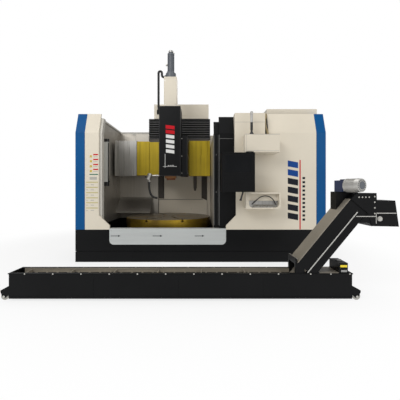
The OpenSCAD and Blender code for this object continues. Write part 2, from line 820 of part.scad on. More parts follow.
// A round hose swept along a route that stays near one upright plane
module hose(route, r, n = 3, sides = 12) {
  p = smooth_route(route, n);
  m = len(p);
  rings = [for (i = [0:m - 1])
    let (t = tangent(p, i), u = unit(cross(t, [0, 1, 0])), v = cross(t, u))
      for (k = [0:sides - 1]) p[i] + r * (cos(k * 360 / sides) * u + sin(k * 360 / sides) * v)];
  walls = [for (i = [0:m - 2], k = [0:sides - 1])
    let (a = i * sides + k, b = i * sides + (k + 1) % sides) [a, b, b + sides, a + sides]];
  polyhedron(points = rings,
    faces = concat([[for (k = [sides - 1:-1:0]) k]], walls, [[for (k = [0:sides - 1]) (m - 1) * sides + k]]));
}

module motor_conduit() {
  color([0.1, 0.1, 0.1]) hose(conduit_route, 20);
}

module coolant_valve() {
  color([0.75, 0.75, 0.75]) union() {
    translate([valve_x, valve_y, 1207]) rotate([0, 20, 0]) cylinder(h = 96, r = 40, center = true);
    translate([valve_x, valve_y, spout_z]) cylinder(h = 70, r = 24);
    translate([valve_x, valve_y, 1226]) rotate([0, 90, 0]) cylinder(h = head_x0 - valve_x, r = 14);
    block([head_x0 - 4, -180, head_bot_z], [head_x0, -100, head_bot_z + 60]);
  }
}

module coolant_nozzle() {
  color([0.08, 0.08, 0.08]) hose(nozzle_route, 19);
}

module ram() {
  color([0.6, 0.6, 0.6]) block([ram_x - ram_w / 2, -ram_w / 2, tool_z + tool_h],
    [ram_x + ram_w / 2, ram_w / 2 + 10 - seat, tool_z + tool_h + ram_len]);
}

module tool_holder() {
  color([0.62, 0.28, 0.08]) translate([ram_x, 0, tool_z]) cylinder(h = tool_h, r = 76);
}

// The round table: radial clamping slots with a T section, turned rings and a centre cap
module table() {
  slot_deep = 36;
  foot_h = 15;
  foot_w = slot_w * 1.7;
  ring_deep = 2;
  slot_x = centre_cap_d / 2 + 40;
  color([0.75, 0.76, 0.77]) difference() {
    translate([0, 0, table_top_z - table_t]) cylinder(h = table_t, r = table_r, $fn = 96);
    for (i = [0:slot_n - 1]) rotate([0, 0, (i + 0.5) * 360 / slot_n]) {
      translate([slot_x, -slot_w / 2, table_top_z - slot_deep]) cube([table_r, slot_w, slot_deep + 1]);
      translate([slot_x, -foot_w / 2, table_top_z - slot_deep]) cube([table_r, foot_w, foot_h]);
    }
    for (r = [centre_cap_d / 2, 420, 560]) translate([0, 0, table_top_z - ring_deep]) difference() {
      cylinder(h = ring_deep + 1, r = r + 4, $fn = 96);
      translate([0, 0, -1]) cylinder(h = ring_deep + 3, r = r, $fn = 96);
    }
    translate([0, 0, table_top_z - 62]) difference() {
      cylinder(h = 10, r = table_r + 1, $fn = 96);
      translate([0, 0, -1]) cylinder(h = 12, r = table_r - 6, $fn = 96);
    }
  }
}

// One sliding leaf with its two bottom shoes
module leaf(x, y, top_z) {
  foot = 10;
  union() {
    front_sheet(x, x + leaf_w, y, base_h + track_h + foot, top_z, leaf_t);
    for (fx = [x + 80, x + leaf_w - 140])
      block([fx, y, base_h + track_h + seat], [fx + 60, y + leaf_t, base_h + track_h + foot + 1]);
  }
}

module door_lead() {
  color([0.08, 0.08, 0.09]) union() {
    leaf(lead_x, lead_y, lead_top_z);
    block([lead_x + 16, lead_y - 5, base_h + 495], [lead_x + 56, lead_y, base_h + 1055]);
  }
}

module door_follow() {
  color([0.08, 0.08, 0.09]) leaf(follow_x, follow_y, follow_top_z);
}

base();
sill_plate();
door_track();
table_bed();
left_front_panel();
left_corner_trim();
left_side_panel();
left_jamb();
left_inner_wall();
back_wall();
splash_skirt();
right_inner_wall();
right_front_panel();
right_corner_trim();
right_side_panel();
right_rear_panel();
electrical_cabinet();
column();
column_top_cover();
column_bellows();
lower_cover_fixed();
work_lamp();
console_cabinet();
console_arm();
console();
pendant_pocket();
signal_lamp();
conveyor_trough();
conveyor_incline();
incline_cover();
discharge_hood();
conveyor_belt();
trough_cover();
gear_bracket();
gear_motor();
gear_reducer();
coolant_pump();
castor_forks();
castor_wheels();
crossrail();
rail_end_cover();
rail_right_cover();
lower_cover_moving();
drain_spout();
saddle();
head_cover();
side_box();
drive_column();
z_motor();
motor_conduit();
coolant_valve();
coolant_nozzle();
saddle_cover_plates();
middle_cover_plates();
ram();
tool_holder();
table();
door_lead();
door_follow();
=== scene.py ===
"""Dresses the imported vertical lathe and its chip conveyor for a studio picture. Metres, +Z up."""
import json
import math

import bmesh
import bpy
from mathutils import Matrix, Vector


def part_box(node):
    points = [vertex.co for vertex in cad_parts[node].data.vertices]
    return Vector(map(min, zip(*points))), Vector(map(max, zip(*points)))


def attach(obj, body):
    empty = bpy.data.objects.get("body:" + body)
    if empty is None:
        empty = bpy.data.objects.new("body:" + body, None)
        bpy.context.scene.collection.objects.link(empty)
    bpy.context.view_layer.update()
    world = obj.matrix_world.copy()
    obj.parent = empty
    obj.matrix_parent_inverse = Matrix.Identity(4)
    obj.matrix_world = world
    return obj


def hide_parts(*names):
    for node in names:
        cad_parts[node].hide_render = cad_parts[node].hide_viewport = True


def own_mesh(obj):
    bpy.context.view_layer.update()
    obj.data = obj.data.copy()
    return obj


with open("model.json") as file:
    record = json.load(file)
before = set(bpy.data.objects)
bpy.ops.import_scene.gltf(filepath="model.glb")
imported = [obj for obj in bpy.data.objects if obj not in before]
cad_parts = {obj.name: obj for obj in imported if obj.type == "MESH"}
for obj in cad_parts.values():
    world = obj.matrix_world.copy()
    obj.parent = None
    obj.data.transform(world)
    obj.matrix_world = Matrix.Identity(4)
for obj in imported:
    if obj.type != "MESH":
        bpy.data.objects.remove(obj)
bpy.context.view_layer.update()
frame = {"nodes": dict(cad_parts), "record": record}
NODES = frame["nodes"]
scene = bpy.context.scene

# Colours, as linear red, green and blue
CREAM = (0.66, 0.60, 0.49)
BLUE = (0.001, 0.072, 0.225)
BLACK = (0.0022, 0.0024, 0.0028)
GREY = (0.30, 0.30, 0.29)
FILM = (0.42, 0.30, 0.008)
CAST = (0.075, 0.065, 0.055)
ORANGE = (0.24, 0.07, 0.012)
TAN = (0.30, 0.27, 0.22)


def rgba(c):
    """A colour with full opacity."""
    return (c[0], c[1], c[2], 1.0)


def new_material(name):
    """A new material with its node tree and its shader."""
    m = bpy.data.materials.new(name)
    m.use_nodes = True
    nt = m.node_tree
    return m, nt, nt.nodes["Principled BSDF"]


def coords(nt, scale=(1, 1, 1)):
    """Object coordinates through a mapping node."""
    tc = nt.nodes.new("ShaderNodeTexCoord")
    mp = nt.nodes.new("ShaderNodeMapping")
    mp.inputs["Scale"].default_value = scale
    nt.links.new(tc.outputs["Object"], mp.inputs["Vector"])
    return mp.outputs["Vector"]


def noise(nt, vec, scale, detail=4.0, rough=0.55):
    """Soft noise over the given coordinates."""
    n = nt.nodes.new("ShaderNodeTexNoise")
    n.inputs["Scale"].default_value = scale
    n.inputs["Detail"].default_value = detail
    n.inputs["Roughness"].default_value = rough
    nt.links.new(vec, n.inputs["Vector"])
    return n.outputs["Fac"]


def ramp(nt, fac, stops):
    """Colours or greys at stops along a value."""
    r = nt.nodes.new("ShaderNodeValToRGB")
    els = r.color_ramp.elements
    while len(els) < len(stops):
        els.new(0.5)
    for e, (pos, col) in zip(els, stops):
        e.position = pos
        e.color = rgba(col) if len(col) == 3 else col
    nt.links.new(fac, r.inputs["Fac"])
    return r.outputs["Color"]


def bump(nt, bsdf, height, strength, distance):
    """Fine relief from a height."""
    b = nt.nodes.new("ShaderNodeBump")
    b.inputs["Strength"].default_value = strength
    b.inputs["Distance"].default_value = distance
    nt.links.new(height, b.inputs["Height"])
    nt.links.new(b.outputs["Normal"], bsdf.inputs["Normal"])


def shade(c, k):
    """A colour made darker or lighter by a factor."""
    return tuple(min(1.0, v * k) for v in c)


def painted(name, colour, rough, spread, grain=900.0, orange=0.25, shine=0.5):
    """Powder-coated sheet: faint mottling, fine orange peel and slightly uneven gloss."""
    m, nt, b = new_material(name)
    b.inputs["Specular IOR Level"].default_value = shine
    v = coords(nt)
    cloud = noise(nt, v, 2.2, 5.0)
    col = ramp(nt, cloud, [(0.3, shade(colour, 1 - spread)), (0.7, shade(colour, 1 + spread))])
    nt.links.new(col, b.inputs["Base Color"])
    gloss = ramp(nt, noise(nt, v, 6.0, 6.0), [(0.25, (rough - 0.06,) * 3), (0.75, (rough + 0.08,) * 3)])
    nt.links.new(gloss, b.inputs["Roughness"])
    bump(nt, b, noise(nt, v, grain, 2.0), orange, 0.0004)
    return m


def brushed(name, colour, axis, rough, streak, metallic=1.0, length=2.0, fine=160.0):
    """Brushed plate: long streaks along one axis."""
    m, nt, b = new_material(name)
    s = [fine] * 3
    s[axis] = length
    v = coords(nt, tuple(s))
    lines = noise(nt, v, 1.0, 3.0, 0.6)
    patches = noise(nt, coords(nt), 3.0, 4.0)
    mix = nt.nodes.new("ShaderNodeMix")
    mix.data_type = "FLOAT"
    mix.inputs["Factor"].default_value = 0.35
    nt.links.new(lines, mix.inputs["A"])
    nt.links.new(patches, mix.inputs["B"])
    tones = [(0.3, shade(colour, 1 - streak)), (0.7, shade(colour, 1 + streak))]
    col = ramp(nt, mix.outputs["Result"], tones)
    nt.links.new(col, b.inputs["Base Color"])
    b.inputs["Metallic"].default_value = metallic
    gloss = ramp(nt, lines, [(0.25, (rough - 0.07,) * 3), (0.75, (rough + 0.1,) * 3)])
    nt.links.new(gloss, b.inputs["Roughness"])
    bump(nt, b, lines, 0.12, 0.0004)
    return m


def round_edges(nt, radius):
    """Soft highlights along sharp sheet edges."""
    n = nt.nodes.new("ShaderNodeBevel")
    n.samples = 4
    n.inputs["Radius"].default_value = radius
    for b in [x for x in nt.nodes if x.bl_idname == "ShaderNodeBump"]:
        nt.links.new(n.outputs["Normal"], b.inputs["Normal"])


BANDS_TOP = 3.5


def by_height(name, stops, rough=0.35):
    """Plain bands of colour from the floor up to BANDS_TOP, for a piece of several parts."""
    m, nt, b = new_material(name)
    v = coords(nt)
    sep = nt.nodes.new("ShaderNodeSeparateXYZ")
    nt.links.new(v, sep.inputs["Vector"])
    span = nt.nodes.new("ShaderNodeMapRange")
    span.inputs["From Min"].default_value = 0.0
    span.inputs["From Max"].default_value = BANDS_TOP
    nt.links.new(sep.outputs["Z"], span.inputs["Value"])
    bands = nt.nodes.new("ShaderNodeValToRGB")
    bands.color_ramp.interpolation = "CONSTANT"
    els = bands.color_ramp.elements
    while len(els) < len(stops):
        els.new(0.5)
    for e, (z, col) in zip(els, stops):
        e.position = z / BANDS_TOP
        e.color = rgba(col)
    nt.links.new(span.outputs["Result"], bands.inputs["Fac"])
    nt.links.new(bands.outputs["Color"], b.inputs["Base Color"])
    gloss = ramp(nt, noise(nt, v, 30.0), [(0.3, (rough - 0.05,) * 3), (0.7, (rough + 0.08,) * 3)])
    nt.links.new(gloss, b.inputs["Roughness"])
    bump(nt, b, noise(nt, v, 700.0, 2.0), 0.2, 0.0003)
    return m


def table_metal():
    """Turned table: fine rings on the brownish top, a painted reflection of the yellow covers on the rim.
    """
    m, nt, b = new_material("turned_table")
    v = coords(nt)
    sep = nt.nodes.new("ShaderNodeSeparateXYZ")
    nt.links.new(v, sep.inputs["Vector"])
    flat = nt.nodes.new("ShaderNodeCombineXYZ")
    nt.links.new(sep.outputs["X"], flat.inputs["X"])
    nt.links.new(sep.outputs["Y"], flat.inputs["Y"])
    ring = nt.nodes.new("ShaderNodeVectorMath")
    ring.operation = "LENGTH"
    nt.links.new(flat.outputs["Vector"], ring.inputs[0])
    waves = nt.nodes.new("ShaderNodeTexNoise")
    waves.noise_dimensions = "1D"
    waves.inputs["Scale"].default_value = 260.0
    waves.inputs["Detail"].default_value = 3.0
    nt.links.new(ring.outputs["Value"], waves.inputs["W"])
    top = ramp(nt, waves.outputs["Fac"], [(0.3, (0.19, 0.15, 0.10)), (0.7, (0.30, 0.25, 0.18))])
    # Brown to amber patches on the rim: a painted reflection of the yellow covers, fixed to the table
    rim = ramp(nt, noise(nt, v, 2.0, 2.0), [(0.38, (0.16, 0.10, 0.02)), (0.62, (0.58, 0.38, 0.04))])
    geo = nt.nodes.new("ShaderNodeNewGeometry")
    face = nt.nodes.new("ShaderNodeSeparateXYZ")
    nt.links.new(geo.outputs["Normal"], face.inputs["Vector"])
    up = nt.nodes.new("ShaderNodeMapRange")
    up.inputs["From Min"].default_value = 0.3
    up.inputs["From Max"].default_value = 0.7
    nt.links.new(face.outputs["Z"], up.inputs["Value"])
    mix = nt.nodes.new("ShaderNodeMix")
    mix.data_type = "RGBA"
    nt.links.new(up.outputs["Result"], mix.inputs["Factor"])
    nt.links.new(rim, mix.inputs["A"])
    nt.links.new(top, mix.inputs["B"])
    nt.links.new(mix.outputs["Result"], b.inputs["Base Color"])
    b.inputs["Metallic"].default_value = 0.85
    gloss = ramp(nt, waves.outputs["Fac"], [(0.3, (0.26,) * 3), (0.7, (0.42,) * 3)])
    nt.links.new(gloss, b.inputs["Roughness"])
    bump(nt, b, waves.outputs["Fac"], 0.15, 0.0004)
    return m


def wall_plate():
    """Stainless wall with upright brushing and broad, soft differences in tone."""
    m = brushed("wall_stainless", (0.44, 0.41, 0.36), axis=2, rough=0.40, streak=0.14,
                metallic=0.75, length=0.6, fine=60.0)
    round_edges(m.node_tree, 0.002)
    return m


MATS = {
    "cream": painted("cream_powder_coat", CREAM, rough=0.42, spread=0.035),
    "blue": painted("blue_powder_coat", BLUE, rough=0.40, spread=0.08, shine=0.15),
    "black": painted("black_powder_coat", BLACK, rough=0.42, spread=0.25, shine=0.16),
    "grey": painted("grey_paint", GREY, rough=0.45, spread=0.06),
    # The jamb's grey is painted shade: a darker, greyer copy of the cream front
    "jamb": painted("jamb_grey_painted_shade", (0.50, 0.48, 0.43), rough=0.42, spread=0.05),
    "cast": painted("painted_casting", CAST, rough=0.55, spread=0.12, grain=240.0, orange=0.5),
    "orange": painted("orange_paint", ORANGE, rough=0.45, spread=0.12),
    "reducer": painted("dark_blue_enamel", (0.012, 0.02, 0.055), rough=0.3, spread=0.1),
    "motor": painted("motor_grey_paint", (0.10, 0.11, 0.125), rough=0.4, spread=0.1),
    "plastic": painted("black_plastic", (0.009, 0.009, 0.0095), rough=0.48, spread=0.15,
                       grain=500.0, orange=0.3),
    "screen": painted("dark_glass", (0.003, 0.0035, 0.0045), rough=0.2, spread=0.1, grain=60.0,
                      orange=0.02, shine=0.2),
    "sill": brushed("film_on_stainless", (0.52, 0.54, 0.53), axis=0, rough=0.34, streak=0.05,
                    metallic=0.25, length=1.2, fine=30.0),
    "steel": brushed("brushed_stainless", (0.42, 0.41, 0.39), axis=2, rough=0.30, streak=0.14,
                     metallic=0.9, length=0.7, fine=70.0),
    "wall_steel": wall_plate(),
    "table": table_metal(),
    "film": brushed("yellow_film_plate", FILM, axis=2, rough=0.32, streak=0.26,
                    metallic=0.45, length=0.8, fine=30.0),
    "alloy": brushed("cast_alloy", (0.52, 0.51, 0.48), axis=0, rough=0.38, streak=0.10, metallic=0.8),
    "belt": brushed("belt_plate", TAN, axis=0, rough=0.45, streak=0.25, metallic=0.55),
    "screw": brushed("zinc_screw", (0.55, 0.54, 0.50), axis=0, rough=0.3, streak=0.1),
    "rubber": painted("castor_rubber", (0.42, 0.41, 0.37), rough=0.6, spread=0.1, grain=400.0, orange=0.3),
    "red": painted("red_print", (0.52, 0.004, 0.012), rough=0.4, spread=0.06, shine=0.15),
    "white": painted("white_print", (0.72, 0.72, 0.70), rough=0.4, spread=0.04),
    "ink": painted("dark_print", (0.006, 0.008, 0.014), rough=0.4, spread=0.1, shine=0.2),
    "ink_blue": painted("blue_print", (0.002, 0.05, 0.24), rough=0.4, spread=0.08, shine=0.2),
    "tag_yellow": painted("yellow_tag", (0.52, 0.38, 0.05), rough=0.45, spread=0.08),
    "tag_olive": painted("olive_tag", (0.50, 0.44, 0.22), rough=0.45, spread=0.08),
    "tag_green": painted("green_tag", (0.02, 0.14, 0.09), rough=0.45, spread=0.08),
    "tag_grey": painted("grey_tag", (0.40, 0.38, 0.34), rough=0.45, spread=0.08),
    "pump_label": painted("bright_yellow_tag", (0.85, 0.66, 0.02), rough=0.4, spread=0.05),
    "cloth": painted("pleated_cloth", (0.008, 0.008, 0.009), rough=0.45, spread=0.2,
                     grain=1400.0, orange=0.5),
    "piping": painted("pleat_edge", (0.16, 0.16, 0.155), rough=0.4, spread=0.1, grain=900.0, orange=0.3),
    "conduit_tan": painted("tan_sleeve", (0.32, 0.25, 0.13), rough=0.5, spread=0.15,
                           grain=500.0, orange=0.4),
    "signal": by_height("signal_lamp_bands", [(0.0, (0.01, 0.01, 0.01)), (1.868, (0.42, 0.41, 0.39)),
                                              (2.002, (0.06, 0.06, 0.06))]),
    "ram": by_height("ram_bands", [(0.0, (0.34, 0.13, 0.02)), (1.235, (0.50, 0.50, 0.50))], 0.3),
    "lamp": by_height("work_lamp_bands", [(0.0, (0.008, 0.008, 0.008)), (1.117, (0.55, 0.55, 0.51)),
                                          (1.766, (0.008, 0.008, 0.008))], 0.3),
}
for key in ("cream", "blue", "black", "grey", "jamb", "cast", "steel", "sill", "film", "belt", "alloy"):
    round_edges(MATS[key].node_tree, 0.0025)

SLOT_MATERIAL = {
    "cream_paint": "cream", "blue_paint": "blue", "black_paint": "black", "grey_paint": "grey",
    "casting_paint": "cast", "stainless": "steel", "yellow_cover": "film", "bellows_cloth": "cloth",
    "motor_grey": "motor", "alloy": "alloy", "reducer_blue": "reducer",
    "belt_steel": "belt", "black_plastic": "plastic", "orange_paint": "orange", "caster_rubber": "rubber",
}
NODE_MATERIAL = {
    "back_wall": "wall_steel", "splash_skirt": "wall_steel", "left_inner_wall": "wall_steel",
    "right_inner_wall": "wall_steel", "left_jamb": "jamb", "sill_plate": "sill", "table": "table",
    "signal_lamp": "signal", "ram": "ram", "work_lamp": "lamp", "incline_cover": "belt",
}

for part in frame["record"]["subparts"]:
    obj = NODES[part["node"]]
    key = NODE_MATERIAL.get(part["node"]) or SLOT_MATERIAL[part["material_slot"]]
    obj.data.materials.clear()
    obj.data.materials.append(MATS[key])

# Camera: the photograph's eye height and distance, level, with a small downward shift
EYE = (0.539, -5.12, 0.989)
LENS_MM, SENSOR_MM = 27.0, 36.0
SHIFT_X, SHIFT_Y = -0.0015, -0.025
cam_data = bpy.data.cameras.new("camera")
cam_data.sensor_width = SENSOR_MM
cam_data.lens = LENS_MM
cam_data.shift_x = SHIFT_X
cam_data.shift_y = SHIFT_Y
cam = bpy.data.objects.new("camera", cam_data)
cam.location = EYE
cam.rotation_euler = (math.radians(90), 0, 0)
scene.collection.objects.link(cam)
scene.camera = cam


def area_light(name, place, aim, size, power):
    """A rectangular light at a place, turned to what it aims at."""
    data = bpy.data.lights.new(name, "AREA")
    data.shape = "RECTANGLE"
    data.size = size[0]
    data.size_y = size[1]
    data.energy = power
    lamp = bpy.data.objects.new(name, data)
    lamp.location = place
    lamp.rotation_euler = (Vector(aim) - Vector(place)).to_track_quat("-Z", "Y").to_euler()
    scene.collection.objects.link(lamp)


area_light("key", (-3.2, -7.0, 5.5), (0.6, 0, 1.0), (4, 3), 250)
area_light("fill", (5.5, -6.5, 3.5), (0.5, 0, 1.0), (4, 4), 90)
area_light("top", (0.5, -0.8, 7.5), (0.5, -0.5, 0), (6, 6), 190)
area_light("back", (0.5, 7.0, 6.0), (0.5, 0, 1.0), (6, 3), 120)

# World: white behind the machine, dimmer where it lights the machine
WORLD_LIGHT, WORLD_SEEN = 0.42, 1.0
world = bpy.data.worlds.new("studio")
scene.world = world
world.use_nodes = True
wnt = world.node_tree
wbg = wnt.nodes["Background"]
lp = wnt.nodes.new("ShaderNodeLightPath")
wmix = wnt.nodes.new("ShaderNodeMix")
wmix.data_type = "FLOAT"
wmix.inputs["A"].default_value = WORLD_LIGHT
wmix.inputs["B"].default_value = WORLD_SEEN
wnt.links.new(lp.outputs["Is Camera Ray"], wmix.inputs["Factor"])
wnt.links.new(wmix.outputs["Result"], wbg.inputs["Strength"])
wbg.inputs["Color"].default_value = (1, 1, 1, 1)


def floor():
    """A pale floor that runs out into the white background a few metres from the machine."""
    size = 40.0
    bm = bmesh.new()
    bmesh.ops.create_grid(bm, x_segments=2, y_segments=2, size=size)
    me = bpy.data.meshes.new("floor")
    bm.to_mesh(me)
    bm.free()
    obj = bpy.data.objects.new("floor", me)
    scene.collection.objects.link(obj)
    m, nt, b = new_material("floor")
    b.inputs["Base Color"].default_value = (0.84, 0.84, 0.84, 1)
    b.inputs["Roughness"].default_value = 0.9
    glow = nt.nodes.new("ShaderNodeEmission")
    glow.inputs["Color"].default_value = (1, 1, 1, 1)
    away = nt.nodes.new("ShaderNodeVectorMath")
    away.operation = "LENGTH"
    nt.links.new(coords(nt), away.inputs[0])
    reach = nt.nodes.new("ShaderNodeMapRange")
    reach.interpolation_type = "SMOOTHSTEP"
    reach.inputs["From Min"].default_value = 2.2
    reach.inputs["From Max"].default_value = 4.0
    reach.inputs["To Min"].default_value = 0.74
    reach.inputs["To Max"].default_value = 1.0
    nt.links.new(away.outputs["Value"], reach.inputs["Value"])
    mix = nt.nodes.new("ShaderNodeMixShader")
    nt.links.new(reach.outputs["Result"], mix.inputs["Fac"])
    nt.links.new(b.outputs["BSDF"], mix.inputs[1])
    nt.links.new(glow.outputs["Emission"], mix.inputs[2])
    nt.links.new(mix.outputs["Shader"], nt.nodes["Material Output"].inputs["Surface"])
    me.materials.append(m)


floor()
scene.view_settings.view_transform = "Standard"


class Kit:
    """Collects simple solids in one mesh, then makes them a piece that rides on a body."""

    def __init__(self):
        self.bm = bmesh.new()

    def box(self, lo, hi):
        """A box between two opposite corners."""
        v = [self.bm.verts.new((x, y, z))
             for x in (lo[0], hi[0]) for y in (lo[1], hi[1]) for z in (lo[2], hi[2])]
        for f in ((0, 1, 3, 2), (4, 6, 7, 5), (0, 4, 5, 1), (2, 3, 7, 6), (0, 2, 6, 4), (1, 5, 7, 3)):
            self.bm.faces.new([v[i] for i in f])

    def rod(self, a, b, r, n=16):
        """A round rod of n sides from a to b."""
        a, b = Vector(a), Vector(b)
        turn = (b - a).to_track_quat("Z", "Y").to_matrix().to_4x4()
        bmesh.ops.create_cone(self.bm, cap_ends=True, segments=n, radius1=r, radius2=r,
                              depth=(b - a).length, matrix=Matrix.Translation((a + b) / 2) @ turn)

    def screw(self, at, out, r=0.007, h=0.004):
        """A hexagon head standing out of a face along the direction out."""
        at, out = Vector(at), Vector(out)
        self.rod(at, at + out * h * 0.35, r * 1.35, 12)
        self.rod(at + out * h * 0.35, at + out * h, r, 6)

    def prism(self, outline, a, b, axis):
        """An outline of points across the X or Y axis, made solid from a to b along it."""
        def place(p, t):
            return (t, p[0], p[1]) if axis == "x" else (p[0], t, p[1])
        ends = [[self.bm.verts.new(place(p, t)) for p in outline] for t in (a, b)]
        self.bm.faces.new(ends[0])
        self.bm.faces.new(ends[1][::-1])
        n = len(outline)
        for i in range(n):
            self.bm.faces.new([ends[0][i], ends[1][i], ends[1][(i + 1) % n], ends[0][(i + 1) % n]])

    def sweep(self, path, radii, n=16):
        """A closed tube along a path, with its own radius at each point."""
        pts = [Vector(p) for p in path]
        side = None
        rings = []
        for i, p in enumerate(pts):
            d = (pts[min(i + 1, len(pts) - 1)] - pts[max(i - 1, 0)]).normalized()
            if side is None:
                side = d.orthogonal().normalized()
            side = (side - d * side.dot(d)).normalized()
            up = d.cross(side)
            rings.append([self.bm.verts.new(p + radii[i] * (math.cos(k * math.tau / n) * side
                                                            + math.sin(k * math.tau / n) * up))
                          for k in range(n)])
        for a, b in zip(rings, rings[1:]):
            for k in range(n):
                self.bm.faces.new([a[k], a[(k + 1) % n], b[(k + 1) % n], b[k]])
        self.bm.faces.new(rings[0][::-1])
        self.bm.faces.new(rings[-1])

    def make(self, name, mat, body="root", bevel=0.0, smooth=False, *, slot):
        """The collected solids as one named piece, with its material and body; slot is not used."""
        bmesh.ops.recalc_face_normals(self.bm, faces=self.bm.faces)
        me = bpy.data.meshes.new(name)
        self.bm.to_mesh(me)
        self.bm.free()
        me.materials.append(MATS[mat])
        obj = bpy.data.objects.new(name, me)
        scene.collection.objects.link(obj)
        if smooth:
            me.shade_smooth()
            me.set_sharp_from_angle(angle=math.radians(35))
        if bevel:
            mod = obj.modifiers.new("edges", "BEVEL")
            mod.width = bevel
            mod.segments = 2
            mod.limit_method = "ANGLE"
        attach(obj, body)
        return obj


def curve_points(route, steps):
    """Points of a smooth curve through the route's points."""
    pts = [Vector(p) for p in route]
    out = []
    for i in range(len(pts) - 1):
        a, b, c, d = pts[max(i - 1, 0)], pts[i], pts[i + 1], pts[min(i + 2, len(pts) - 1)]
        for k in range(steps):
            t = k / steps
            out.append(0.5 * (2 * b + (c - a) * t + (2 * a - 5 * b + 4 * c - d) * t * t
                              + (3 * b - a - 3 * c + d) * t ** 3))
    out.append(pts[-1])
    return out


def path_length(points):
    """The length of a line through the points."""
    return sum((b - a).length for a, b in zip(points, points[1:]))


RINGS_PER_RIB = 4
GROOVE_SHARE = 0.88


def ribbed_hose(name, route, r, pitch, node):
    """A hose on the head with fine ribs along its route, which stands for its CAD node."""
    fine = curve_points(route, 16)
    total = path_length(fine)
    rings = int(total / pitch) * RINGS_PER_RIB
    marks = []
    run = 0.0
    want = 0.0
    step = total / rings
    for a, b in zip(fine, fine[1:]):
        seg = (b - a).length
        while want <= run + seg + 1e-9 and len(marks) < rings:
            marks.append(a.lerp(b, (want - run) / seg))
            want += step
        run += seg
    marks.append(fine[-1])
    radii = [r if i % RINGS_PER_RIB in (0, 1) else r * GROOVE_SHARE for i in range(len(marks))]
    kit = Kit()
    kit.sweep(marks, radii, 14)
    obj = kit.make(name, "plastic", "head", smooth=True, slot="black_plastic")
    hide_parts(node)


# Places that the details share with the CAD, in metres
LEFT, RIGHT = -1.181, 2.259
FRONT, BACK = -1.0, 0.8
BASE_Z, KINK_Z, PANEL_Z = 0.445, 1.776, 2.058
HEAD_X, HEAD_FRONT, HEAD_Z = (-0.143, 0.209), -0.2, (1.219, 2.367)
SIDE_X, SIDE_Z = 0.324, 1.891
CONV_X, CONV_Y, CONV_TOP = (-1.175, 1.893), (-2.44, -2.22), 0.245
INCLINE = math.radians(50.5)
INCL_A = Vector((1.408, 0.0, 0.337))
INCL_U = Vector((math.cos(INCLINE), 0.0, math.sin(INCLINE)))
INCL_V = Vector((math.sin(INCLINE), 0.0, -math.cos(INCLINE)))
COL_X, COL_BACK, COL_Z = (-0.342, 0.674), 1.5, 2.371

# Diameters of the pocket's cable and of the sleeve beside the console's cabinet
CABLE_D, SLEEVE_D = 0.013, 0.032

# How deep a piece reaches into the face it lies on, how far a print stands out, and how thick a tag is
SUNK = 0.001
PRINT = 0.0008
TAG = 0.0006

# Radius and height of small screw heads
SCREW_S, SCREW_M = (0.005, 0.003), (0.006, 0.003)


def slanted(kit, x0, x1, z0, z1, y, lean):
    """A flat slanted bar on a face that looks to the front."""
    kit.prism([(x0, z0), (x1, z0 + lean), (x1, z1 + lean), (x0, z1)], y - PRINT, y + SUNK, "y")


def printed(kit, x0, x1, z0, z1, y, thick=PRINT):
    """A flat upright rectangle on a face that looks to the front."""
    kit.box((x0, y - thick, z0), (x1, y + SUNK, z1))


